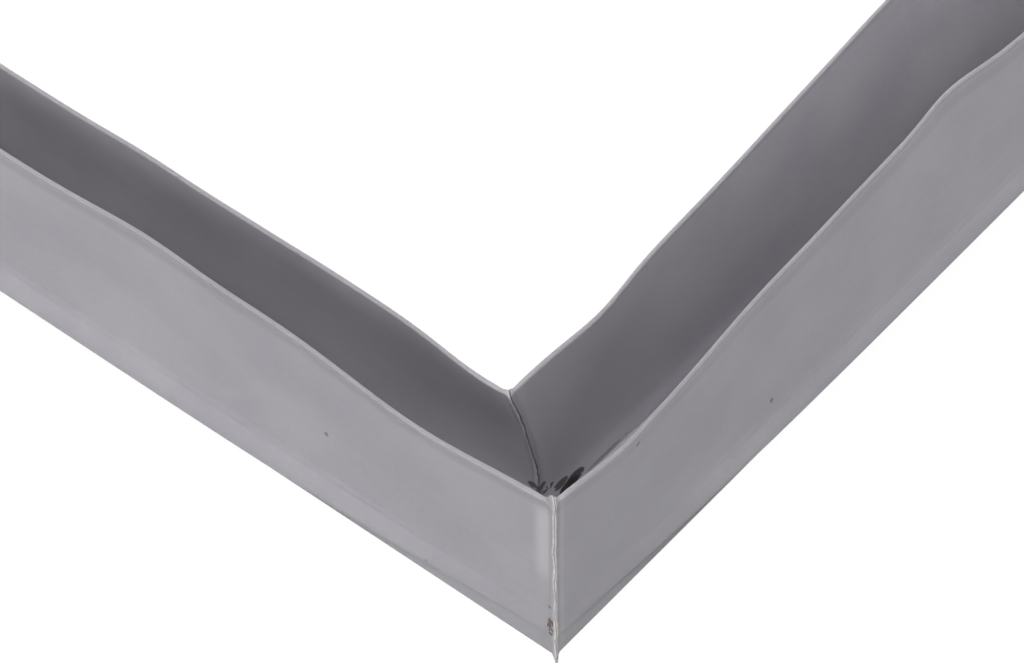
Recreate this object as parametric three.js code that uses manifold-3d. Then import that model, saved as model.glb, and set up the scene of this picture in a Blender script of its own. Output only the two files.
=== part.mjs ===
// Refrigerator door gasket: a soft PVC profile cut at 45 degrees and welded into one closed frame,
// with a flexible magnet strip in the pocket of each side.
// Millimetres, +Z up. The frame lies on its sealing face, centred on the origin.
import * as THREE from "three";
import Module from "manifold-3d";
import { mergeVertices } from "three/addons/utils/BufferGeometryUtils.js";

// Driving dimensions of the frame, measured over its pockets.
const FRAME_WIDTH = 400;
const FRAME_LENGTH = 650;
const RIM_HEIGHT = 28;

// The magnet strip, and the pocket that is extruded round it.
const MAGNET_WIDTH = 10.8;
const MAGNET_THICKNESS = 1.8;
const MAGNET_CLEARANCE = 0.3;
const MAGNET_END_GAP = 1.5;
const POCKET_WALL = 0.5;
const BASE_CHAMFER = 0.2;

// The two lips that stand on the pocket, with an open channel between them. The outer lip's foot
// folds out over the pocket, and FOLD_OUTLINE gives that fold in shares of its reach and height.
const LIP_WALL = 0.55;
const LIP_LEVELS = [0.22, 0.45, 0.68];
const FOOT_DEPTH = 0.3;
const FOLD_HEIGHT = 3.4;
const FOLD_OUTLINE = [
  { out: 0.8, up: 0.06 },
  { out: 1, up: 0.3 },
  { out: 0.8, up: 0.65 },
  { out: 0.43, up: 1 },
];
const FOLD_REACH = { front: 2.4, right: 2.1, back: 2.4, left: 2.1 };
const FOLD_RUN = 22;
const FOLD_EASE = 1.5;
const INNER_STEP = 0.45;
const INNER_STEP_HEIGHT = 3;
const RIM_FLARE_HEIGHT = 2.3;
const RIM_FLARE = { front: 0.45, right: 0.1, back: 0.25, left: 0.25 };
const RIM_ROUND = 0.15;
const CORNER_DROP = 0.5;
const CORNER_DROP_RUN = 8;

// A tear in the channel's floor at one corner, over the end of a magnet strip.
const TEAR_FROM_CORNER = 15;
const TEAR_LENGTH = 5;
const TEAR_WIDTH = 1.5;

// Stations along a side are close near its welds and wide apart in its middle.
const STATION_GROWTH = 1.38;
const FIRST_STATION = 3;
const WIDEST_STATION = 34;

// Each lip wanders along a side: at is the distance from the side's first corner, run is how far
// the lean reaches each way, and by is how far the rim leans, inwards where it is positive.
const OUTER_LEAN = {
  front: [
    { at: FRAME_WIDTH - 17, run: 14, by: -1.75 },
    { at: FRAME_WIDTH - 60, run: 8.5, by: 0.65 },
    { at: FRAME_WIDTH - 75, run: 60, by: -0.3 },
    { at: FRAME_WIDTH - 270, run: 60, by: 0.9 },
  ],
  right: [
    { at: 10, run: 5, by: -0.4 },
    { at: 15, run: 14.5, by: -1.4 },
    { at: 72, run: 28, by: 1.55 },
    { at: 77, run: 7, by: 1.0 },
    { at: 290, run: 80, by: -1.0 },
    { at: 490, run: 70, by: 1.1 },
  ],
  back: [
    { at: 110, run: 50, by: -1.1 },
    { at: 270, run: 55, by: 1.0 },
  ],
  left: [
    { at: 150, run: 70, by: 1.2 },
    { at: 340, run: 80, by: -1.3 },
    { at: 530, run: 60, by: 0.8 },
  ],
};
const INNER_LEAN = {
  front: [
    { at: FRAME_WIDTH, run: 190, by: -3.5 },
    { at: FRAME_WIDTH - 4.5, run: 9.5, by: -1.2 },
    { at: FRAME_WIDTH - 59, run: 8.5, by: 0.3 },
  ],
  right: [
    { at: 15, run: 7.5, by: -0.95 },
    { at: 100, run: 57, by: 5.4 },
    { at: 330, run: 90, by: -1.6 },
    { at: 520, run: 75, by: 1.7 },
  ],
  back: [
    { at: 120, run: 60, by: -1.8 },
    { at: 290, run: 60, by: 1.3 },
  ],
  left: [
    { at: 160, run: 80, by: 1.6 },
    { at: 400, run: 90, by: -2.0 },
  ],
};
const LEAN_POWER = 1.6;
const SETTLE_SHARE = 0.4;

// Sizes that follow from the ones above.
const POCKET_WIDTH = MAGNET_WIDTH + 2 * MAGNET_CLEARANCE;
const POCKET_HEIGHT = MAGNET_THICKNESS + 2 * MAGNET_CLEARANCE;
const BASE_WIDTH = POCKET_WIDTH + 2 * POCKET_WALL;
const FLOOR_HEIGHT = POCKET_HEIGHT + 2 * POCKET_WALL;
const FOLD_TOP = FLOOR_HEIGHT + FOLD_HEIGHT;

// The sides run round the frame from corner to corner, seen from above against the clock.
const SIDES = [
  { name: "front", start: [-FRAME_WIDTH / 2, -FRAME_LENGTH / 2], turn: 0, length: FRAME_WIDTH },
  { name: "right", start: [FRAME_WIDTH / 2, -FRAME_LENGTH / 2], turn: 1, length: FRAME_LENGTH },
  { name: "back", start: [FRAME_WIDTH / 2, FRAME_LENGTH / 2], turn: 2, length: FRAME_WIDTH },
  { name: "left", start: [-FRAME_WIDTH / 2, FRAME_LENGTH / 2], turn: 3, length: FRAME_LENGTH },
];

const PVC = new THREE.MeshStandardMaterial({ color: 0x929096, roughness: 0.55, metalness: 0 });
const FERRITE = new THREE.MeshStandardMaterial({ color: 0x2e2b2a, roughness: 0.7, metalness: 0 });

// How far a lip's rim leans at one place of a side.
function leanAt(bumps, distance) {
  return bumps.reduce((sum, bump) => sum + bump.by * Math.exp(-(((distance - bump.at) / bump.run) ** 2)), 0);
}

// The welds hold the foot of the outer lip flush, and between them it folds out over the pocket.
function foldAt(side, distance) {
  const fromWeld = Math.min(distance, side.length - distance);
  return FOLD_REACH[side.name] * (1 - Math.exp(-((fromWeld / FOLD_RUN) ** FOLD_EASE)));
}

function dropAt(side, distance) {
  const fromWeld = Math.min(distance, side.length - distance);
  return CORNER_DROP * Math.exp(-((fromWeld / CORNER_DROP_RUN) ** 2));
}

// The outward face of the outer lip from its foot to its rim, as distance inwards and height.
function outerLipFace(side, distance) {
  const reach = foldAt(side, distance);
  const lean = leanAt(OUTER_LEAN[side.name], distance);
  const fold = [[0, FLOOR_HEIGHT - FOOT_DEPTH]];
  for (const { out, up } of FOLD_OUTLINE) fold.push([-out * reach, FLOOR_HEIGHT + up * FOLD_HEIGHT]);
  return fold.concat(lipRise(side, distance, fold.at(-1)[0], 0, lean, -RIM_FLARE[side.name]));
}

// The face of the inner lip towards the door opening.
function innerLipFace(side, distance) {
  const lean = leanAt(INNER_LEAN[side.name], distance);
  const foot = BASE_WIDTH + INNER_STEP;
  return [
    [BASE_WIDTH, FLOOR_HEIGHT - FOOT_DEPTH],
    [foot, FLOOR_HEIGHT + INNER_STEP_HEIGHT],
  ].concat(lipRise(side, distance, foot, foot, lean, 0));
}

// A lip's face above its foot: it comes back from the foot to where it stands, and bends over
// towards its rim, where the last stretch may flare out.
function lipRise(side, distance, foot, stand, lean, flare) {
  const rise = RIM_HEIGHT - RIM_ROUND - FOLD_TOP;
  const drop = dropAt(side, distance);
  return [...LIP_LEVELS, 1 - RIM_FLARE_HEIGHT / rise, 1].map((share) => {
    const settled = stand + (foot - stand) * Math.max(0, 1 - share / SETTLE_SHARE);
    const flared = share === 1 ? flare : 0;
    return [settled + lean * share ** LEAN_POWER + flared, FOLD_TOP + share * (rise - drop)];
  });
}

// The points of a face moved by the lip's wall to its other side, along the face's own normals.
function otherFace(face, wall) {
  return face.map(([x, z], i) => {
    const before = face[Math.max(0, i - 1)];
    const after = face[Math.min(face.length - 1, i + 1)];
    const along = new THREE.Vector2(after[0] - before[0], after[1] - before[1]).normalize();
    return [x + along.y * wall, z - along.x * wall];
  });
}

// The whole section at one place of a side, against the clock: sealing face, inner lip, channel, outer lip.
function section(side, distance) {
  const inner = innerLipFace(side, distance);
  const outer = outerLipFace(side, distance);
  const innerChannel = otherFace(inner, -LIP_WALL).slice(1);
  const outerChannel = otherFace(outer, LIP_WALL).slice(1);
  const rimOf = (face, channel) => {
    const a = new THREE.Vector2(...face.at(-1));
    const b = new THREE.Vector2(...channel.at(-1));
    const middle = a.clone().add(b).multiplyScalar(0.5);
    return [middle.x, middle.y + RIM_ROUND];
  };
  return [
    [BASE_CHAMFER, 0],
    [BASE_WIDTH - BASE_CHAMFER, 0],
    [BASE_WIDTH, BASE_CHAMFER],
    ...inner,
    rimOf(inner, innerChannel),
    ...innerChannel.reverse(),
    [BASE_WIDTH - LIP_WALL, FLOOR_HEIGHT],
    [LIP_WALL, FLOOR_HEIGHT],
    ...outerChannel,
    rimOf(outer, outerChannel),
    ...outer.reverse(),
    [0, BASE_CHAMFER],
  ];
}

// The frame's own place for a point that is along a side and inwards from it.
function place(side, along, inwards, height) {
  const angle = (side.turn * Math.PI) / 2;
  const c = Math.round(Math.cos(angle));
  const s = Math.round(Math.sin(angle));
  return [side.start[0] + c * along - s * inwards, side.start[1] + s * along + c * inwards, height];
}

// Distances of the stations between a side's two welds.
function stationsOf(length) {
  const half = [];
  let step = FIRST_STATION;
  let at = step;
  while (at < length / 2 - step / 2) {
    half.push(at);
    step = Math.min(WIDEST_STATION, step * STATION_GROWTH);
    at += step;
  }
  return [...half, length / 2, ...half.map((d) => length - d).reverse()];
}

// One closed ring, mitred at the corners: sectionAt gives the section at a place of a side, and
// every point of it runs from one mitre to the next.
function ring(sectionAt, stationList) {
  const rows = [];
  SIDES.forEach((side, k) => {
    const previous = SIDES[(k + 3) % 4];
    const next = SIDES[(k + 1) % 4];
    const first = sectionAt(side, 0);
    const before = sectionAt(previous, previous.length);
    const after = sectionAt(next, 0);
    rows.push(first.map(([x, z], i) => place(side, before[i][0], x, (z + before[i][1]) / 2)));
    for (const distance of stationList(side.length)) {
      const share = distance / side.length;
      rows.push(
        sectionAt(side, distance).map(([x, z], i) => {
          const from = before[i][0];
          const to = side.length - after[i][0];
          return place(side, from + (to - from) * share, x, z);
        }),
      );
    }
  });
  const count = rows[0].length;
  const index = [];
  rows.forEach((row, r) => {
    const here = r * count;
    const there = ((r + 1) % rows.length) * count;
    row.forEach((_, i) => {
      const j = (i + 1) % count;
      index.push(here + i, there + j, there + i, here + i, here + j, there + j);
    });
  });
  const geometry = new THREE.BufferGeometry();
  geometry.setAttribute("position", new THREE.Float32BufferAttribute(rows.flat(2), 3));
  geometry.setIndex(index);
  return geometry;
}

// The space in the base where the magnet strips lie.
function pocketSection() {
  const from = POCKET_WALL;
  const to = POCKET_WALL + POCKET_WIDTH;
  const low = POCKET_WALL;
  const high = POCKET_WALL + POCKET_HEIGHT;
  return [
    [from, low],
    [to, low],
    [to, high],
    [from, high],
  ];
}

// A ragged hole through the floor, along the inner lip's foot beside the first corner of the right side.
function tearGeometry() {
  const outline = new THREE.Shape();
  outline.moveTo(0, 0.1 * TEAR_WIDTH);
  outline.lineTo(0.3 * TEAR_LENGTH, -0.1 * TEAR_WIDTH);
  outline.lineTo(0.75 * TEAR_LENGTH, 0.25 * TEAR_WIDTH);
  outline.lineTo(TEAR_LENGTH, 0.7 * TEAR_WIDTH);
  outline.lineTo(0.7 * TEAR_LENGTH, TEAR_WIDTH);
  outline.lineTo(0.1 * TEAR_LENGTH, 0.9 * TEAR_WIDTH);
  outline.closePath();
  const geometry = new THREE.ExtrudeGeometry(outline, { depth: 2 * POCKET_WALL, bevelEnabled: false });
  const side = SIDES[1];
  const inwards = BASE_WIDTH - LIP_WALL - 1.1 * TEAR_WIDTH;
  const [x, y, z] = place(side, TEAR_FROM_CORNER, inwards, FLOOR_HEIGHT - 1.5 * POCKET_WALL);
  geometry.rotateZ((side.turn * Math.PI) / 2);
  geometry.translate(x, y, z);
  return geometry;
}

const wasm = await Module();
wasm.setup();

// A closed three.js geometry as a solid that can be cut.
function solid(geometry) {
  geometry.deleteAttribute("normal");
  geometry.deleteAttribute("uv");
  const merged = mergeVertices(geometry, 1e-4);
  const mesh = new wasm.Mesh({
    numProp: 3,
    vertProperties: merged.attributes.position.array,
    triVerts: new Uint32Array(merged.index.array),
  });
  return new wasm.Manifold(mesh);
}

function geometryOf(made) {
  const mesh = made.getMesh();
  const geometry = new THREE.BufferGeometry();
  geometry.setAttribute("position", new THREE.BufferAttribute(mesh.vertProperties, 3));
  geometry.setIndex(new THREE.BufferAttribute(mesh.triVerts, 1));
  geometry.computeVertexNormals();
  return geometry;
}

function gasketFrame() {
  const profile = solid(ring(section, stationsOf));
  const pocket = solid(ring(pocketSection, () => []));
  const tear = solid(tearGeometry());
  const mesh = new THREE.Mesh(geometryOf(profile.subtract(pocket).subtract(tear)), PVC);
  mesh.name = "gasket_frame";
  return mesh;
}

// A magnet strip lies in its side's pocket, and its mitred ends stop short of the welds.
function magnetStrip(side) {
  const near = POCKET_WALL + MAGNET_CLEARANCE;
  const far = near + MAGNET_WIDTH;
  const outline = new THREE.Shape();
  outline.moveTo(near + MAGNET_END_GAP, near);
  outline.lineTo(side.length - near - MAGNET_END_GAP, near);
  outline.lineTo(side.length - far - MAGNET_END_GAP, far);
  outline.lineTo(far + MAGNET_END_GAP, far);
  outline.closePath();
  const geometry = new THREE.ExtrudeGeometry(outline, { depth: MAGNET_THICKNESS, bevelEnabled: false });
  const mesh = new THREE.Mesh(geometry, FERRITE);
  mesh.name = `magnet_strip_${side.name}`;
  mesh.rotation.z = (side.turn * Math.PI) / 2;
  mesh.position.set(side.start[0], side.start[1], POCKET_WALL + MAGNET_CLEARANCE);
  return mesh;
}

const gasket = new THREE.Group();
gasket.add(gasketFrame());
for (const side of SIDES) gasket.add(magnetStrip(side));

export default gasket;
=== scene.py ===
# %% [markdown]
# # A refrigerator door gasket, modelled as it is made
#
# The real gasket starts as one long strip of soft PVC that comes out of a die. Four lengths of it
# are cut at 45 degrees and heat-welded into a frame. We follow the same steps: a section, a long
# extrusion, four mitred copies, the way the soft lips settle, and the welds.
#
# The solids from the CAD model come first. They give the size of everything here, in metres.

# %% Load the frame
import math
from functools import cache

import bmesh
import bpy
from mathutils import Matrix, Vector, noise


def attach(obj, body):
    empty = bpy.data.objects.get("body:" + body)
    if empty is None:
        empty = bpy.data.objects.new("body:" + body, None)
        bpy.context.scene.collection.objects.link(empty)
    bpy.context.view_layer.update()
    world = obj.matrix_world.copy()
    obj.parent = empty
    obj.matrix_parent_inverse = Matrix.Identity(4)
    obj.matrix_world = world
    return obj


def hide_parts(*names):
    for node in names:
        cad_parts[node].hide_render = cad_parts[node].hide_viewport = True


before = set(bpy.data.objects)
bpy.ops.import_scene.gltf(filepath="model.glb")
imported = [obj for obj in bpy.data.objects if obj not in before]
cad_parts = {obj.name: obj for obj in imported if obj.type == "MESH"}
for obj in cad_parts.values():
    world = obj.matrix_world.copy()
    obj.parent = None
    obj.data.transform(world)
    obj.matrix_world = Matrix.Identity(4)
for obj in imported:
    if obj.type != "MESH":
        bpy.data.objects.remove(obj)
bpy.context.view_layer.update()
scene = bpy.context.scene

# %% [markdown]
# ## Sizes
#
# A gasket is drawn in millimetres, so we write its sizes that way and turn them into metres once.
# The frame is measured over its hollow base, which holds the magnet strips.

# %% The sizes of the section and the frame
MM = 0.001
FRAME_WIDTH = 400 * MM
FRAME_LENGTH = 650 * MM
RIM_HEIGHT = 28 * MM
BASE_WIDTH = 12.4 * MM
FLOOR_HEIGHT = 3.4 * MM
POCKET_WALL = 0.5 * MM
BASE_CHAMFER = 0.2 * MM
LIP_WALL = 0.55 * MM
FOLD_TOP = 6.8 * MM
RIM_ROUND = 0.2 * MM
HAIR = 0.01 * MM

print("section", BASE_WIDTH / MM, "mm wide,", RIM_HEIGHT / MM, "mm high")

# %% [markdown]
# ## The camera
#
# The photograph looks down at one welded corner from above and outside. The corner's place in the
# picture and the slope of its two legs give the camera's angles. It stands close, so nearer things
# look clearly larger, and its long lens still shows only about 9 cm of the two sides.

# %% Stand the camera at the photograph's angle
SEEN_CORNER = Vector((FRAME_WIDTH / 2, -FRAME_LENGTH / 2, 0))
azimuth, elevation, roll = (math.radians(a) for a in (40.81, 47.58, -1.44))

# The camera's place from the corner in millimetres, along its own three axes.
away, leftwards, upwards = 329.9, 4.80, 35.73

back = Vector((
    math.sin(azimuth) * math.cos(elevation),
    -math.cos(azimuth) * math.cos(elevation),
    math.sin(elevation),
))
level = Vector((math.cos(azimuth), math.sin(azimuth), 0))
upward = back.cross(level)
right = level * math.cos(roll) + upward * math.sin(roll)
up = upward * math.cos(roll) - level * math.sin(roll)
stand = SEEN_CORNER + back * away * MM - right * leftwards * MM + up * upwards * MM

bpy.ops.object.select_all(action="DESELECT")
bpy.ops.object.camera_add(location=stand, rotation=Matrix((right, up, back)).transposed().to_euler())
camera = bpy.context.object
camera.name = "photo_camera"
camera.data.sensor_width = 36
camera.data.lens = 105.47
camera.data.clip_start = 0.01
scene.camera = camera
print("camera at", [round(v, 3) for v in camera.location])

# %% [markdown]
# ## Selecting by place
#
# By hand we would click on edges. In code we ask where each one is. This helper selects the edges
# whose two ends pass a test, and lets go of all the others.

# %% A helper that selects in edit mode
def select_where(test):
    """Select the edges of the mesh in edit mode whose two ends pass the test."""
    bpy.ops.mesh.select_mode(type="EDGE")
    bpy.ops.mesh.select_all(action="DESELECT")
    mesh = bpy.context.edit_object.data
    shape = bmesh.from_edit_mesh(mesh)
    for edge in [edge for edge in shape.edges if all(test(v.co) for v in edge.verts)]:
        edge.select_set(True)
    bmesh.update_edit_mesh(mesh)


def near(a, b):
    return abs(a - b) < HAIR


# %% [markdown]
# ## The section
#
# The section is a flat hollow base with two thin lips on it. We add a plane of the base's size,
# inset it and delete its middle, which leaves the pocket for the magnet strip with its 0.5 mm wall.
# Two bisects mark where the lips stand, and five more give the base's sides the levels that the
# weld's bead needs at the corners.

# %% The base and its pocket
BEAD_LEVELS = [z * MM for z in (0.45, 0.7, 1.0, 1.5, 2.2)]

bpy.ops.object.select_all(action="DESELECT")
bpy.ops.mesh.primitive_plane_add(
    size=1, location=(0, BASE_WIDTH / 2, FLOOR_HEIGHT / 2), rotation=(0, math.radians(90), 0)
)
stock = bpy.context.object
stock.name = "gasket_stock"
bpy.ops.object.transform_apply(location=False, rotation=True, scale=True)
bpy.ops.transform.resize(value=(1, BASE_WIDTH, FLOOR_HEIGHT))
bpy.ops.object.transform_apply(location=True, rotation=True, scale=True)

bpy.ops.object.mode_set(mode="EDIT")
bpy.ops.mesh.select_all(action="SELECT")
bpy.ops.mesh.inset(thickness=POCKET_WALL, depth=0)
bpy.ops.mesh.delete(type="FACE")
for inwards in (LIP_WALL, BASE_WIDTH - LIP_WALL):
    bpy.ops.mesh.select_all(action="SELECT")
    bpy.ops.mesh.bisect(plane_co=(0, inwards, 0), plane_no=(0, 1, 0))
for height in BEAD_LEVELS:
    bpy.ops.mesh.select_all(action="SELECT")
    bpy.ops.mesh.bisect(plane_co=(0, 0, height), plane_no=(0, 0, 1))
print("base section:", len(bmesh.from_edit_mesh(stock.data).faces), "faces")

# %% [markdown]
# Each lip is the foot's short edge, extruded upwards in many small steps. The steps are close
# together at the outer lip's foot, where it will fold over, and at the rims.

# %% The lips
FOLD_STEPS = 16
INNER_FOOT_STEPS = 4
WALL_STEPS = 15
FLARE = 2.3 * MM
FLARE_STEPS = 5


def spread(low, high, steps):
    return [low + (high - low) * (i + 1) / steps for i in range(steps)]


def raise_lip(from_y, levels):
    """Extrude the foot's edge upwards from level to level."""
    to_y = from_y + LIP_WALL
    select_where(lambda p: near(p.z, FLOOR_HEIGHT) and from_y - HAIR < p.y < to_y + HAIR)
    height = FLOOR_HEIGHT
    for z in levels:
        bpy.ops.mesh.extrude_region_move(TRANSFORM_OT_translate={"value": (0, 0, z - height)})
        height = z


flare_foot = RIM_HEIGHT - FLARE
wall_levels = spread(FOLD_TOP, flare_foot, WALL_STEPS) + spread(flare_foot, RIM_HEIGHT, FLARE_STEPS)
raise_lip(0, spread(FLOOR_HEIGHT, FOLD_TOP, FOLD_STEPS) + wall_levels)
raise_lip(BASE_WIDTH - LIP_WALL, spread(FLOOR_HEIGHT, FOLD_TOP, INNER_FOOT_STEPS) + wall_levels)
print("whole section:", len(bmesh.from_edit_mesh(stock.data).faces), "faces")

# %% [markdown]
# ## The strip
#
# The die pushes this section out in one long run, so one extrude of all the faces makes the strip.
# Then the long edges are bevelled: the corners under the base, and the rims of the lips.

# %% Extrude the strip and round its long edges
ROUND_SEGMENTS = 3

bpy.ops.mesh.select_mode(type="FACE")
bpy.ops.mesh.select_all(action="SELECT")
bpy.ops.mesh.extrude_region_move(TRANSFORM_OT_translate={"value": (FRAME_LENGTH, 0, 0)})
bpy.ops.mesh.select_all(action="SELECT")
bpy.ops.mesh.normals_make_consistent(inside=False)


def select_long_edges(test):
    """Select the edges that run the whole length of the strip and pass the test."""
    select_where(test)
    shape = bmesh.from_edit_mesh(stock.data)
    for edge in shape.edges:
        if edge.select and edge.calc_length() < FRAME_LENGTH / 2:
            edge.select_set(False)
    bmesh.update_edit_mesh(stock.data)


select_long_edges(lambda p: near(p.z, 0) and (near(p.y, 0) or near(p.y, BASE_WIDTH)))
bpy.ops.mesh.bevel(offset=BASE_CHAMFER, segments=ROUND_SEGMENTS, affect="EDGES")
select_long_edges(lambda p: near(p.z, RIM_HEIGHT))
bpy.ops.mesh.bevel(offset=RIM_ROUND, segments=ROUND_SEGMENTS, affect="EDGES")
bpy.ops.object.mode_set(mode="OBJECT")
print("strip:", len(stock.data.polygons), "faces,", round(stock.dimensions.x, 3), "m long")

# %% [markdown]
# ## Four mitred lengths
#
# The strip is modelled once. Each side of the frame is a copy of it with its own mesh, cut to its
# length by two bisects at 45 degrees, with the outer edge the longer one. The cut ends stay open,
# because the welds will close them.
#
# A side then gets stations, which are extra edges across it, so that it can bend. They lie close
# together beside the welds and along the stretch that the photograph shows.

# %% Copy, cut and divide a side
SIDES = {
    "front": {"turn": 0, "length": FRAME_WIDTH, "start": (-FRAME_WIDTH / 2, -FRAME_LENGTH / 2)},
    "right": {"turn": 1, "length": FRAME_LENGTH, "start": (FRAME_WIDTH / 2, -FRAME_LENGTH / 2)},
    "back": {"turn": 2, "length": FRAME_WIDTH, "start": (FRAME_WIDTH / 2, FRAME_LENGTH / 2)},
    "left": {"turn": 3, "length": FRAME_LENGTH, "start": (-FRAME_WIDTH / 2, FRAME_LENGTH / 2)},
}
ORDER = list(SIDES)
# A distance from a weld, measured square to it, is longer by the root of 2 along the side.
WELD_STATIONS = [w * MM * math.sqrt(2) for w in (0.15, 0.32, 0.5, 0.8, 1.3, 2.0)]
SEEN_RUN = 112 * MM
CORNER_RUN = 40 * MM
SEEN_STATION = 1.4 * MM
CORNER_STATION = 4 * MM
MIDDLE_STATION = 9 * MM


def cut_across(at, lean, keep_all=True):
    """Bisect the side in edit mode at 45 degrees. lean is 1 at its first weld and -1 at its last."""
    bpy.ops.mesh.select_all(action="SELECT")
    bpy.ops.mesh.bisect(
        plane_co=(at, 0, 0), plane_no=(1, -lean, 0), clear_inner=not keep_all and lean > 0,
        clear_outer=not keep_all and lean < 0, threshold=HAIR / 10,
    )


def divide_between(side, low, high, step):
    """Subdivide the long edges that run from low to high, as measured along the outer edge."""
    length = side["length"]

    def place_of(p):
        return p.x - p.y if p.x < length / 2 else p.x + p.y

    shape = bmesh.from_edit_mesh(bpy.context.edit_object.data)
    bpy.ops.mesh.select_mode(type="EDGE")
    bpy.ops.mesh.select_all(action="DESELECT")
    for edge in shape.edges:
        ends = sorted(place_of(v.co) for v in edge.verts)
        if ends[0] > low - HAIR and ends[1] < high + HAIR and ends[1] - ends[0] > 0.9 * (high - low):
            edge.select_set(True)
    bmesh.update_edit_mesh(bpy.context.edit_object.data)
    bpy.ops.mesh.subdivide(number_cuts=max(1, round((high - low) / step) - 1))


def cut_side(name):
    side = SIDES[name]
    length = side["length"]
    bpy.ops.object.select_all(action="DESELECT")
    stock.select_set(True)
    bpy.context.view_layer.objects.active = stock
    bpy.ops.object.duplicate()
    piece = bpy.context.object
    piece.name = f"side_{name}"
    bpy.ops.object.mode_set(mode="EDIT")
    cut_across(0, 1, keep_all=False)
    cut_across(length, -1, keep_all=False)
    first_run = SEEN_RUN if name == "right" else CORNER_RUN
    last_run = SEEN_RUN if name == "front" else CORNER_RUN
    for w in WELD_STATIONS + [first_run]:
        cut_across(w, 1)
    for w in WELD_STATIONS + [last_run]:
        cut_across(length - w, -1)
    inner = WELD_STATIONS[-1]
    steps = [SEEN_STATION if run == SEEN_RUN else CORNER_STATION for run in (first_run, last_run)]
    divide_between(side, inner, first_run, steps[0])
    divide_between(side, length - last_run, length - inner, steps[1])
    divide_between(side, first_run, length - last_run, MIDDLE_STATION)
    bpy.ops.object.mode_set(mode="OBJECT")
    return piece


pieces = {name: cut_side(name) for name in ORDER}
for name, piece in pieces.items():
    print(name, len(piece.data.vertices), "vertices")

# %% [markdown]
# ## How the lips settle
#
# Soft PVC doesn't stand straight. Once it is off the door, the outer lip's foot folds out over the
# edge of the base, and both lips lean a little this way and that. The welds hold the corners, so
# the fold fades to a small step there. We move the vertices in code, as a sculptor would.
#
# A lip's outer face is a curve from foot to rim. Each vertex of the straight strip keeps its level
# on that curve and its depth in the wall, so the wall stays 0.55 mm thick however it bends.
#
# A lean is a soft bump in the rim. Its three numbers are its place along the side, its reach to
# each way, and how far it moves the rim inwards, all in millimetres.

# %% Where each lip leans and folds
OUTER_LEAN = {
    "front": [(383, 14, -1.75), (340, 8.5, 0.65), (325, 60, -0.3), (130, 60, 0.9)],
    "right": [
        (10, 5, -0.4), (15, 14.5, -1.4), (72, 28, 1.55), (77, 7, 1.0), (290, 80, -1.0), (490, 70, 1.1),
    ],
    "back": [(110, 50, -1.1), (270, 55, 1.0)],
    "left": [(150, 70, 1.2), (340, 80, -1.3), (530, 60, 0.8)],
}
INNER_LEAN = {
    "front": [(400, 190, -3.5), (395.5, 9.5, -1.2), (341, 8.5, 0.3)],
    "right": [(15, 7.5, -0.95), (100, 57, 5.4), (330, 90, -1.6), (520, 75, 1.7)],
    "back": [(120, 60, -1.8), (290, 60, 1.3)],
    "left": [(160, 80, 1.6), (400, 90, -2.0)],
}
FOLD_REACH = {"front": 2.4 * MM, "right": 2.1 * MM, "back": 2.4 * MM, "left": 2.1 * MM}
FOLD_RUN = 22 * MM
FOLD_EASE = 1.5
WELD_REACH = 0.25 * MM
FOLD_OUTLINE = [(0, 0), (0.8, 0.06), (1, 0.3), (0.8, 0.65), (0.43, 1)]
RIM_FLARE = {"front": 0.45 * MM, "right": 0.1 * MM, "back": 0.25 * MM, "left": 0.25 * MM}
INNER_STEP = 0.45 * MM
CORNER_DROP = 0.5 * MM
CORNER_DROP_RUN = 8 * MM
LEAN_POWER = 1.6
SETTLE_SHARE = 0.4
SETTLE_POWER = 1.3
FLARE_POWER = 1.5
RIPPLE = 0.12 * MM
RIPPLE_RUN = 13 * MM
RIPPLE_RISE = 18 * MM
RIPPLE_START = 4 * MM


def swell(distance, reach):
    """1 at no distance, and falling smoothly to nothing at about twice the reach."""
    return math.exp(-((distance / reach) ** 2))


@cache
def lean_at(lip, name, along):
    bumps = (OUTER_LEAN if lip == "outer" else INNER_LEAN)[name]
    return sum(by * MM * swell(along / MM - at, reach) for at, reach, by in bumps)


def from_weld(name, along):
    return max(0, min(along, SIDES[name]["length"] - along))


@cache
def fold_at(name, along):
    faded = math.exp(-((from_weld(name, along) / FOLD_RUN) ** FOLD_EASE))
    return FOLD_REACH[name] * (1 - faded) + WELD_REACH * faded


def through(points, t):
    """A smooth curve through points that are evenly spaced in t, which runs from 0 to 1."""
    spans = len(points) - 1
    i = min(int(t * spans), spans - 1)
    u = t * spans - i
    a = points[max(0, i - 1)]
    b, c = points[i], points[i + 1]
    d = points[min(spans, i + 2)]
    return [
        0.5 * (2 * q + (r - p) * u + (2 * p - 5 * q + 4 * r - s) * u**2 + (3 * q - p - 3 * r + s) * u**3)
        for p, q, r, s in zip(a, b, c, d)
    ]


def wall_point(name, along, level, foot, stand, lean, flare):
    """The face of a lip above its foot, as distance inwards and height."""
    share = (level - FOLD_TOP) / (RIM_HEIGHT - FOLD_TOP)
    weld = from_weld(name, along)
    drop = CORNER_DROP * swell(weld, CORNER_DROP_RUN)
    settled = stand + (foot - stand) * max(0, 1 - share / SETTLE_SHARE) ** SETTLE_POWER
    bend = lean * max(0, share) ** LEAN_POWER
    turned_out = flare * max(0, 1 - (RIM_HEIGHT - level) / FLARE) ** FLARE_POWER
    own_place = ORDER.index(name) * 7.3 + stand / BASE_WIDTH * 3.1
    wave = noise.noise(Vector((along / RIPPLE_RUN, level / RIPPLE_RISE, own_place)))
    ripple = RIPPLE * wave * max(0, share) * (1 - swell(weld, RIPPLE_START))
    return settled + bend + turned_out + ripple, level - share * drop


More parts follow.
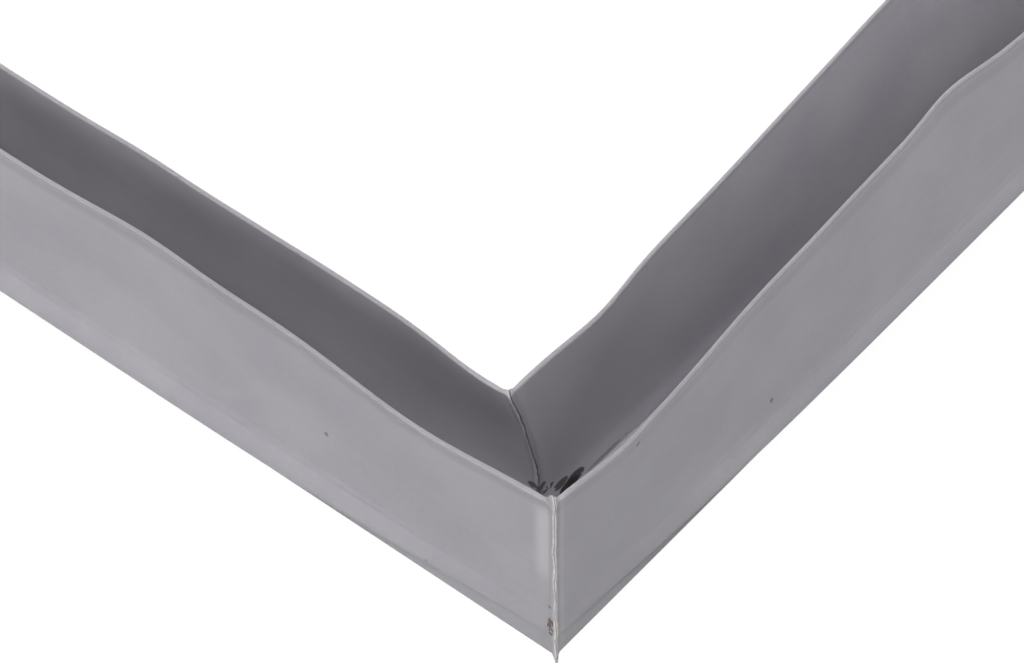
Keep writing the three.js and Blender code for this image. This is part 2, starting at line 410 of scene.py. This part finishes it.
def outer_face(name, along, level):
    reach = fold_at(name, along)
    if level <= FOLD_TOP:
        t = (level - FLOOR_HEIGHT) / (FOLD_TOP - FLOOR_HEIGHT)
        out, rise = through(FOLD_OUTLINE, max(0, t))
        return -out * reach, FLOOR_HEIGHT + rise * (FOLD_TOP - FLOOR_HEIGHT)
    foot = -FOLD_OUTLINE[-1][0] * reach
    return wall_point(name, along, level, foot, 0, lean_at("outer", name, along), -RIM_FLARE[name])


def inner_face(name, along, level):
    stand = BASE_WIDTH + INNER_STEP
    if level <= FOLD_TOP:
        t = (level - FLOOR_HEIGHT) / (FOLD_TOP - FLOOR_HEIGHT)
        return BASE_WIDTH + INNER_STEP * math.sin(max(0, t) * math.pi / 2), level
    return wall_point(name, along, level, stand, stand, lean_at("inner", name, along), 0)


@cache
def settle_point(name, along, inwards, height):
    """Where a point of the straight strip's section goes at one place along a side."""
    if height <= FLOOR_HEIGHT + HAIR:
        return inwards, height
    outer = inwards < BASE_WIDTH / 2
    face = outer_face if outer else inner_face
    depth = inwards if outer else inwards - BASE_WIDTH
    here = Vector(face(name, along, height))
    tiny = 0.05 * MM
    low = Vector(face(name, along, max(FLOOR_HEIGHT, height - tiny)))
    high = Vector(face(name, along, min(RIM_HEIGHT, height + tiny)))
    run = (high - low).normalized()
    return here.x + run.y * depth, here.y - run.x * depth


print("fold in the middle of the front side:", round(fold_at("front", FRAME_WIDTH / 2) / MM, 2), "mm")

# %% [markdown]
# ## The welds
#
# At a weld, the molten PVC squeezes out into a fine bead on both faces of each lip. It is about
# half a millimetre wide and uneven. At the foot of the corner it is drawn out into a little tail,
# and at the rim it leaves a small tab. We raise the stations nearest to the weld. The sealing face
# stays flat.

# %% The bead, and the place of every vertex
BEAD_HEIGHT = 0.2 * MM
BEAD_HALF_WIDTH = 0.3 * MM
BEAD_MEAN = 0.75
BEAD_SWING = 0.9
BEAD_LEAST = 0.2
BEAD_WAVE = 1.7 * MM
BEAD_WAVE_INWARDS = 4 * MM
TAIL_TIMES = 5.0
TAIL_MIDDLE = 0.7 * MM
TAIL_REACH = 0.8 * MM
TAB_TIMES = 1.6
TAB_REACH = 0.7 * MM
OUTER_DEPTH = 1 * MM
GROOVE_SHARE = 0.35
GROOVE_PLACE = 2.2
AT_WELD = 1e-6


def bead_at(distance, inwards, height):
    """How far the bead stands out at a distance from the weld. A groove runs along its foot."""
    wave = noise.noise(Vector((height / BEAD_WAVE, inwards / BEAD_WAVE_INWARDS, 2.7)))
    uneven = max(BEAD_LEAST, BEAD_MEAN + BEAD_SWING * wave)
    outer = inwards < OUTER_DEPTH
    tail = TAIL_TIMES * swell(height - TAIL_MIDDLE, TAIL_REACH) if outer else 0
    tab = TAB_TIMES * swell(height - RIM_HEIGHT, TAB_REACH) if outer else 0
    ridge = swell(distance, BEAD_HALF_WIDTH)
    groove = GROOVE_SHARE * swell(distance - GROOVE_PLACE * BEAD_HALF_WIDTH, BEAD_HALF_WIDTH)
    return BEAD_HEIGHT * ((uneven + tail + tab) * ridge - groove)


def facing_of(inwards, height):
    """-1 on a face that looks outwards, 1 on one that looks inwards, and 0 between them."""
    if height <= FLOOR_HEIGHT + HAIR:
        return -1 if inwards < HAIR else 1 if inwards > BASE_WIDTH - HAIR else 0
    middle = LIP_WALL / 2 if inwards < BASE_WIDTH / 2 else BASE_WIDTH - LIP_WALL / 2
    return max(-1, min(1, (inwards - middle) / (LIP_WALL / 2)))


def shape_side(name, piece):
    """Move every vertex of a side to its settled place, and raise the beads at its two welds."""
    length = SIDES[name]["length"]
    before = ORDER[ORDER.index(name) - 1]
    after = ORDER[(ORDER.index(name) + 1) % 4]
    before_length = SIDES[before]["length"]
    for vertex in piece.data.vertices:
        x, y, z = (round(value, 7) for value in vertex.co)
        share = round(min(1, max(0, (x - y) / (length - 2 * y))), 6)
        along = share * length
        d, h = settle_point(name, along, y, z)
        d_before, h_before = settle_point(before, before_length, y, z)
        d_after, h_after = settle_point(after, 0, y, z)
        if share < AT_WELD:
            h = (h + h_before) / 2
        if share > 1 - AT_WELD:
            h = (h + h_after) / 2
        x += (1 - share) * (d_before - y) - share * (d_after - y)
        to_first = share * (length - 2 * y) / math.sqrt(2)
        to_last = (1 - share) * (length - 2 * y) / math.sqrt(2)
        pocket_wide = POCKET_WALL - HAIR < y < BASE_WIDTH - POCKET_WALL + HAIR
        pocket_high = POCKET_WALL - HAIR < z < FLOOR_HEIGHT - POCKET_WALL + HAIR
        if z > BASE_CHAMFER + HAIR and not (pocket_wide and pocket_high):
            bead = bead_at(min(to_first, to_last), y, z)
            facing = facing_of(y, z)
            x += bead * facing * (1 if to_first < to_last else -1)
            d += bead * facing
            if near(z, FLOOR_HEIGHT) or z > RIM_HEIGHT - HAIR:
                h += bead
        vertex.co = (x, d, h)
    piece.data.update()


for name, piece in pieces.items():
    shape_side(name, piece)
print("settled box of the front side", [round(v, 4) for v in pieces["front"].dimensions])

# %% [markdown]
# ## One frame
#
# Each side is turned by a quarter of a turn more than the last and moved to its corner. The open
# mitres, and nothing else, are selected and merged by distance, which is what the hot plate does.
# The pocket is now a closed space inside, so the normals aren't recalculated here: that would turn
# its walls to face the wrong way.

# %% Place the sides and weld them
for name, piece in pieces.items():
    side = SIDES[name]
    piece.rotation_euler.z = side["turn"] * math.pi / 2
    piece.location = (*side["start"], 0)

bpy.ops.object.select_all(action="DESELECT")
for piece in pieces.values():
    piece.select_set(True)
body = pieces["front"]
bpy.context.view_layer.objects.active = body
bpy.ops.object.transform_apply(location=True, rotation=True, scale=True)
bpy.ops.object.join()
body.name = "gasket_body"
bpy.ops.object.mode_set(mode="EDIT")
bpy.ops.mesh.select_mode(type="VERT")
bpy.ops.mesh.select_all(action="DESELECT")
bpy.ops.mesh.select_non_manifold()
bpy.ops.mesh.remove_doubles(threshold=HAIR / 4)
bpy.ops.object.mode_set(mode="OBJECT")
bpy.data.objects.remove(stock)


def open_edges(piece):
    shape = bmesh.new()
    shape.from_mesh(piece.data)
    count = sum(1 for edge in shape.edges if len(edge.link_faces) != 2)
    shape.free()
    return count


print("frame:", len(body.data.polygons), "faces,", open_edges(body), "open edges")

# %% [markdown]
# ## The tear
#
# Beside the corner, the floor of the channel is torn along the foot of the inner lip, and the dark
# magnet strip shows in the hole. The cutter is a circle of nine corners, pulled ragged by a random
# move with a fixed seed, and extruded. A Boolean modifier cuts with it.

# %% Cut the ragged hole
TEAR_MIDDLE = SEEN_CORNER + Vector((-11.0 * MM, 17.5 * MM, 0))
TEAR_HALF_WIDTH = 0.7 * MM
TEAR_HALF_LENGTH = 2.5 * MM
TEAR_RAGGED = 0.25 * MM
CUT_BELOW_FLOOR = 0.75 * MM
CUT_HEIGHT = 1.2 * MM

bpy.ops.object.select_all(action="DESELECT")
bpy.ops.mesh.primitive_circle_add(
    vertices=9,
    radius=1,
    fill_type="NGON",
    location=TEAR_MIDDLE + Vector((0, 0, FLOOR_HEIGHT - CUT_BELOW_FLOOR)),
)
cutter = bpy.context.object
bpy.ops.transform.resize(value=(TEAR_HALF_WIDTH, TEAR_HALF_LENGTH, 1))
bpy.ops.object.transform_apply(location=True, rotation=True, scale=True)
bpy.ops.object.mode_set(mode="EDIT")
bpy.ops.mesh.select_all(action="SELECT")
bpy.ops.transform.vertex_random(offset=TEAR_RAGGED, uniform=1.0, seed=4)
bpy.ops.mesh.extrude_region_move(TRANSFORM_OT_translate={"value": (0, 0, CUT_HEIGHT)})
bpy.ops.mesh.select_all(action="SELECT")
bpy.ops.mesh.normals_make_consistent(inside=False)
bpy.ops.object.mode_set(mode="OBJECT")

bpy.ops.object.select_all(action="DESELECT")
body.select_set(True)
bpy.context.view_layer.objects.active = body
hole = body.modifiers.new("tear", "BOOLEAN")
hole.operation = "DIFFERENCE"
hole.solver = "EXACT"
hole.object = cutter
bpy.ops.object.modifier_apply(modifier=hole.name)
bpy.data.objects.remove(cutter)
bpy.ops.object.shade_smooth_by_angle(angle=math.radians(38))
print("with the tear:", len(body.data.polygons), "faces,", open_edges(body), "open edges")

# %% [markdown]
# ## Writing shader maths
#
# A node's output is wrapped in a small class, so that `1 - mask` adds a Math node and wires it.
# Every other node comes from one method, which sets its settings first and its sockets after.

# %% The two classes that write materials
class Wire:
    """An output socket, with arithmetic."""

    def __init__(self, finish, socket):
        self.finish = finish
        self.socket = socket

    def math(self, operation, *values):
        return self.finish.node("ShaderNodeMath", {"operation": operation}, dict(enumerate(values)))

    def __add__(self, other):
        return self.math("ADD", self, other)

    __radd__ = __add__

    def __sub__(self, other):
        return self.math("SUBTRACT", self, other)

    def __rsub__(self, other):
        return self.math("SUBTRACT", other, self)

    def __mul__(self, other):
        return self.math("MULTIPLY", self, other)

    __rmul__ = __mul__

    def __truediv__(self, other):
        return self.math("DIVIDE", self, other)

    def __pow__(self, other):
        return self.math("POWER", self, other)

    def size(self):
        return self.math("ABSOLUTE", self)

    def lower_of(self, other):
        return self.math("MINIMUM", self, other)

    def higher_of(self, other):
        return self.math("MAXIMUM", self, other)

    def rising(self, low, high):
        """0 below low, 1 above high, and smooth between them. It falls where low is above high."""
        settings = {"interpolation_type": "SMOOTHSTEP"}
        if low < high:
            return self.finish.node(
                "ShaderNodeMapRange", settings, {"Value": self, "From Min": low, "From Max": high}
            )
        return 1 - self.rising(high, low)


class Finish:
    """A material that is written as expressions."""

    def __init__(self, name, **fixed):
        self.material = bpy.data.materials.new(name)
        self.material.use_nodes = True
        self.tree = self.material.node_tree
        self.shader = self.tree.nodes["Principled BSDF"]
        for socket, value in fixed.items():
            self.shader.inputs[socket.replace("_", " ")].default_value = value
        self.place = self.node("ShaderNodeTexCoord", output="Object")
        split = self.node("ShaderNodeSeparateXYZ", inputs={"Vector": self.place}).socket.node
        self.x, self.y, self.z = (Wire(self, split.outputs[axis]) for axis in "XYZ")

    def node(self, kind, settings=None, inputs=None, output=0):
        made = self.tree.nodes.new(kind)
        for name, value in (settings or {}).items():
            setattr(made, name, value)
        for name, value in (inputs or {}).items():
            if isinstance(value, Wire):
                self.tree.links.new(value.socket, made.inputs[name])
            else:
                made.inputs[name].default_value = value
        return Wire(self, made.outputs[output])

    def stretched(self, x, y, z):
        """The place in the pattern, where a larger number makes the pattern finer along that axis."""
        return self.node("ShaderNodeMapping", inputs={"Vector": self.place, "Scale": (x, y, z)})

    def cloud(self, x, y, z, detail=2.0, roughness=0.5):
        """A soft noise of about 0.5 on average, with that many waves in a metre."""
        inputs = {"Vector": self.stretched(x, y, z), "Scale": 1.0, "Detail": detail, "Roughness": roughness}
        return self.node("ShaderNodeTexNoise", inputs=inputs)

    def blend(self, mask, first, second):
        """Colour first where the mask is 0, and second where it is 1."""
        made = self.tree.nodes.new("ShaderNodeMix")
        made.data_type = "RGBA"
        for index, value in ((0, mask), (6, first), (7, second)):
            if isinstance(value, Wire):
                self.tree.links.new(value.socket, made.inputs[index])
            else:
                made.inputs[index].default_value = value
        return Wire(self, made.outputs[2])

    def bump(self, height, depth, under=None):
        """A bump of that depth in metres, over another bump where one is given."""
        inputs = {"Height": height, "Distance": depth, "Strength": 1.0}
        if under is not None:
            inputs["Normal"] = under
        return self.node("ShaderNodeBump", inputs=inputs)

    def feed(self, **sockets):
        for socket, wire in sockets.items():
            self.tree.links.new(wire.socket, self.shader.inputs[socket.replace("_", " ")])


def linear(level):
    """A level from 0 to 255, as a paint program gives it, turned into Blender's linear value."""
    share = level / 255
    return share / 12.92 if share < 0.04045 else ((share + 0.055) / 1.055) ** 2.4


def colour(red, green, blue):
    return (linear(red), linear(green), linear(blue), 1)


print("PVC grey is", [round(c, 3) for c in colour(150, 148, 153)])

# %% [markdown]
# ## The PVC
#
# Gasket PVC is a satin, slightly mauve grey that lets a little light through its thin walls. Years
# on a door leave faint clouds, marks at the welds, dirt and a few specks, and the die leaves
# streaks along the strip. The rims get painted shade, since they catch most of the key lamp's light,
# and so does a band under the outer lip's flared rim.
# Every pattern reads Object coordinates.

# %% The PVC's colour, gloss and fine relief
pvc = Finish(
    "worn_grey_pvc",
    Subsurface_Weight=1.0,
    Subsurface_Scale=1.5 * MM,
    Subsurface_Radius=(1.0, 0.95, 1.0),
    IOR=1.5,
)

# How far a point is from each outer edge tells which leg it is on and how far the mitre is.
half_width, half_length = FRAME_WIDTH / 2, FRAME_LENGTH / 2
from_side = half_width - pvc.x.size()
from_end = half_length - pvc.y.size()
past_mitre = (from_side - from_end) / math.sqrt(2)
from_mitre = past_mitre.size()
outer_corner = from_side.rising(6 * MM, 4 * MM) * from_end.rising(6 * MM, 4 * MM)
inner_corner = from_side.rising(7 * MM, 7.6 * MM) * from_end.rising(7 * MM, 7.6 * MM)

clouds = pvc.cloud(60, 60, 90, detail=3.0)
grain = pvc.cloud(1400, 1400, 1400, detail=2.0)
streaks = pvc.cloud(14, 14, 1500, detail=3.0, roughness=0.7)
crumbs = pvc.cloud(700, 700, 700, detail=3.0, roughness=0.65)

base_grey = pvc.blend(clouds.rising(0.3, 0.7), colour(145, 143, 149), colour(153, 151, 156))
base_grey = pvc.blend(streaks.rising(0.45, 0.8) * 0.1, base_grey, colour(168, 166, 170))
base_grey = pvc.blend(grain.rising(0.35, 0.65) * 0.12, base_grey, colour(164, 162, 166))
# Painted shade: the rims of both lips are darkened, since they catch most of the key lamp's light.
base_grey = pvc.blend(pvc.z.rising(27.2 * MM, 27.8 * MM) * 0.5, base_grey, colour(126, 123, 126))
outer_lip = from_side.lower_of(from_end).rising(6 * MM, 5 * MM)
# Painted shade: a darker band under the outer lip's flared rim, where the turned-out top faces down.
painted_shade_under_rim = pvc.z.rising(25 * MM, 25.8 * MM) * pvc.z.rising(27.3 * MM, 26.7 * MM) * outer_lip
base_grey = pvc.blend(painted_shade_under_rim * 0.2, base_grey, colour(118, 116, 118))

# %% [markdown]
# Hot PVC that is pressed turns paler. It does so in a soft patch on one side of the corner, high on
# the lip, and in a narrow line on the other. The bead itself shows as two pale lines with a dark
# one between them. None of them is straight, so the place across the weld gets a little wobble. In
# the channel, the weld is a dark hairline beside a pale ridge, and it slants as the lips lean.

# %% The marks that the weld leaves
past_weld = past_mitre + (pvc.cloud(450, 450, 450, detail=2.0) - 0.5) * (0.5 * MM)
from_weld_line = past_weld.size()
high_up = pvc.z.rising(11 * MM, 17 * MM) * pvc.z.rising(27 * MM, 24 * MM)
pressed = past_mitre.rising(0.3 * MM, 0.8 * MM) * past_mitre.rising(2.3 * MM, 1.2 * MM) * high_up
thin_line = past_mitre.rising(-0.5 * MM, -0.7 * MM) * past_mitre.rising(-1.3 * MM, -0.8 * MM)
stress = (pressed * 0.45).higher_of(thin_line * 0.2) * outer_corner
base_grey = pvc.blend(stress, base_grey, colour(192, 189, 190))
bead_lines = from_weld_line.rising(0.26 * MM, 0.16 * MM) * from_weld_line.rising(0.03 * MM, 0.1 * MM)
bead_dark = from_weld_line.rising(0.09 * MM, 0.02 * MM)
base_grey = pvc.blend(bead_lines * outer_corner * crumbs.rising(0.2, 0.7), base_grey, colour(198, 194, 189))
base_grey = pvc.blend(bead_dark * outer_corner * 0.55, base_grey, colour(100, 96, 94))

inner_slant = lean_at("inner", "right", 0) - lean_at("inner", "front", FRAME_WIDTH)
lip_share = ((pvc.z - FOLD_TOP) / (RIM_HEIGHT - FOLD_TOP)).higher_of(0)
past_inner = past_weld - lip_share**LEAN_POWER * (inner_slant / math.sqrt(2))
inner_ridge = past_inner.rising(0.08 * MM, 0.18 * MM) * past_inner.rising(0.45 * MM, 0.28 * MM)
base_grey = pvc.blend(inner_ridge * inner_corner * 0.35, base_grey, colour(196, 193, 193))
inner_line = past_inner.rising(-0.14 * MM, -0.05 * MM) * past_inner.rising(0.1 * MM, 0.03 * MM)
base_grey = pvc.blend(inner_line * inner_corner * 0.8, base_grey, colour(48, 46, 46))

# %% [markdown]
# Dirt is not spread evenly. Each dark mark gets its own soft ball, placed where the real one is and
# broken up by the same noise as the crumbs. The first two are dirt at the outer corner, the next
# four darken the inner lip around the tear, and the last two are painted shade at the foot of the
# inner lip.

# %% Stains, specks and painted shade
DIRT_AND_PAINTED_SHADE = [
    # place from the seen corner, half sizes, both in millimetres; where the crumbs cut in; strength; colour
    ((-0.5, -0.3, 5.2), (0.6, 1.0, 1.9), (0.42, 0.56), 0.95, (84, 62, 54)),
    ((0.6, -0.6, 0.7), (0.8, 0.8, 0.9), (0.45, 0.6), 0.8, (92, 84, 78)),
    ((-12.6, 12.2, 7.9), (1.6, 1.6, 0.8), (0.36, 0.46), 0.8, (48, 45, 44)),
    ((-12.2, 13.8, 6.7), (1.4, 1.2, 0.6), (0.36, 0.46), 0.9, (44, 41, 40)),
    ((-12.1, 15.9, 5.5), (1.6, 1.6, 0.7), (0.3, 0.45), 0.9, (60, 58, 56)),
    ((-12.1, 18.4, 4.6), (1.6, 1.9, 0.9), (0.3, 0.45), 0.95, (56, 55, 53)),
    # Painted shade: the darkest patch, in the gap at the foot of the inner lip by the tear.
    ((-12.1, 17.2, 4.2), (1.6, 2.0, 0.9), (0.25, 0.4), 0.95, (34, 32, 31)),
    # Painted shade: a thin dark line where the channel floor meets the foot of the inner lip.
    ((-12.2, 24.0, 3.8), (1.4, 5.0, 0.3), (0.3, 0.5), 0.45, (70, 66, 64)),
]


def ball(centre, radii):
    """1 in the middle of an ellipsoid and 0 outside it, with a soft edge."""
    offsets = [(axis - middle) / radius for axis, middle, radius in zip((pvc.x, pvc.y, pvc.z), centre, radii)]
    squares = [offset * offset for offset in offsets]
    return (squares[0] + squares[1] + squares[2]).rising(1.0, 0.25)


for from_corner, radii, broken, strength, tone in DIRT_AND_PAINTED_SHADE:
    place = SEEN_CORNER + Vector(from_corner) * MM
    mask = ball(place, [radius * MM for radius in radii]) * crumbs.rising(*broken)
    base_grey = pvc.blend(mask.rising(0.1, 0.55) * strength, base_grey, colour(*tone))

dots = pvc.node("ShaderNodeTexVoronoi", inputs={"Vector": pvc.place, "Scale": 210.0})
specks = dots.rising(0.085, 0.05)
few = pvc.cloud(180, 180, 180, detail=0.0).rising(0.62, 0.68)
base_grey = pvc.blend(specks * few * 0.8, base_grey, colour(84, 78, 74))

relief = pvc.bump(streaks, 0.008 * MM)
relief = pvc.bump(grain, 0.012 * MM, relief)
relief = pvc.bump(crumbs * from_mitre.rising(0.5 * MM, 0.2 * MM) * outer_corner, 0.08 * MM, relief)
pvc.feed(
    Base_Color=base_grey,
    Roughness=0.46 + 0.14 * clouds + 0.08 * grain,
    Normal=relief,
)
print("PVC nodes:", len(pvc.tree.nodes))

# %% [markdown]
# ## The magnet strips
#
# Flexible magnet is ferrite powder in rubber. It is nearly black, dull, and grainy where it is
# chipped. The CAD strips have the right shape already and are hidden in the pocket but for the
# tear, so they stay, and get this finish.

# %% The ferrite's finish
ferrite = Finish("ferrite_rubber")
powder = ferrite.cloud(2500, 2500, 2500, detail=3.0)
smear = ferrite.cloud(150, 150, 400, detail=2.0)
ferrite.feed(
    Base_Color=ferrite.blend(smear, colour(50, 47, 45), colour(72, 69, 67)),
    Roughness=0.62 + 0.2 * powder,
    Normal=ferrite.bump(powder, 0.02 * MM),
)


def give(piece, finish):
    piece.data.materials.clear()
    piece.data.materials.append(finish.material)


for node_name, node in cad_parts.items():
    if node_name.startswith("magnet_strip"):
        give(node, ferrite)
give(body, pvc)
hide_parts("gasket_frame")
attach(body, "root")
print("finished", len(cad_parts) - 1, "magnet strips and the body")

# %% [markdown]
# ## Floor and light
#
# The photograph has a pure white ground. The floor is a plain pale sheet that still takes the
# gasket's shadow. Light Path lifts what the camera and the gasket's sheen see of it towards white,
# so that no extra diffuse light falls on the gasket. The world is brighter for the camera alone.

# %% The floor and the white surroundings
PAPER_GREY = 0.45
FLOOR_GLOW = 1.03
FLOOR_LIFT = 0.95
WORLD_LIGHT = 0.48

bpy.ops.object.select_all(action="DESELECT")
bpy.ops.mesh.primitive_plane_add(size=6, location=(0, 0, 0))
floor = bpy.context.object
floor.name = "studio_floor"
bpy.ops.object.mode_set(mode="EDIT")
bpy.ops.mesh.subdivide(number_cuts=3)
bpy.ops.object.mode_set(mode="OBJECT")

paper = Finish("white_paper", Roughness=0.9, Base_Color=(PAPER_GREY, PAPER_GREY, PAPER_GREY, 1))
rays = paper.node("ShaderNodeLightPath").socket.node
camera_ray, glossy_ray = (Wire(paper, rays.outputs[f"Is {kind} Ray"]) for kind in ("Camera", "Glossy"))
lift = camera_ray.higher_of(glossy_ray) * FLOOR_LIFT
plain = Wire(paper, paper.shader.outputs[0])
glow = paper.node("ShaderNodeEmission", inputs={"Color": (1, 1, 1, 1), "Strength": FLOOR_GLOW})
mixed = paper.node("ShaderNodeMixShader", inputs={0: lift, 1: plain, 2: glow})
output = paper.tree.nodes["Material Output"]
paper.tree.links.new(mixed.socket, output.inputs["Surface"])
give(floor, paper)

world = bpy.data.worlds.new("studio")
scene.world = world
world.use_nodes = True
sky = world.node_tree
path = sky.nodes.new("ShaderNodeLightPath")
dim = sky.nodes["Background"]
dim.inputs["Color"].default_value = (1, 1, 1, 1)
dim.inputs["Strength"].default_value = WORLD_LIGHT
white = sky.nodes.new("ShaderNodeBackground")
white.inputs["Strength"].default_value = 1.0
either = sky.nodes.new("ShaderNodeMixShader")
sky.links.new(path.outputs["Is Camera Ray"], either.inputs[0])
sky.links.new(dim.outputs[0], either.inputs[1])
sky.links.new(white.outputs[0], either.inputs[2])
sky.links.new(either.outputs[0], sky.nodes["World Output"].inputs["Surface"])
print("floor", floor.dimensions.x, "m wide")

# %% [markdown]
# Three soft lamps light it. The key lamp stands high on the camera's side, so its light reaches
# down into the channel. A weaker one, low on the left, lifts the left leg's outer face above the
# other. The third lights the far sides, which the photograph doesn't show.

# %% The lamps
def softbox(name, place, target, size, power):
    bpy.ops.object.light_add(type="AREA", location=place)
    lamp = bpy.context.object
    lamp.name = name
    lamp.rotation_euler = (Vector(place) - Vector(target)).to_track_quat("Z", "Y").to_euler()
    lamp.data.size = size
    lamp.data.energy = power


aim = (SEEN_CORNER.x, SEEN_CORNER.y, 0)
softbox("lamp_key", (0.70, -1.20, 1.70), aim, 0.4, 33)
softbox("lamp_low", (-0.6, -2.0, 0.5), aim, 0.8, 7)
softbox("lamp_back", (-1.5, 1.7, 1.3), (0, 0, 0), 1.2, 22)
scene.view_settings.view_transform = "Standard"

# %% [markdown]
# ## The size, kept
#
# The visual model stays the size of the CAD model.

# %% Finish
bpy.context.view_layer.update()
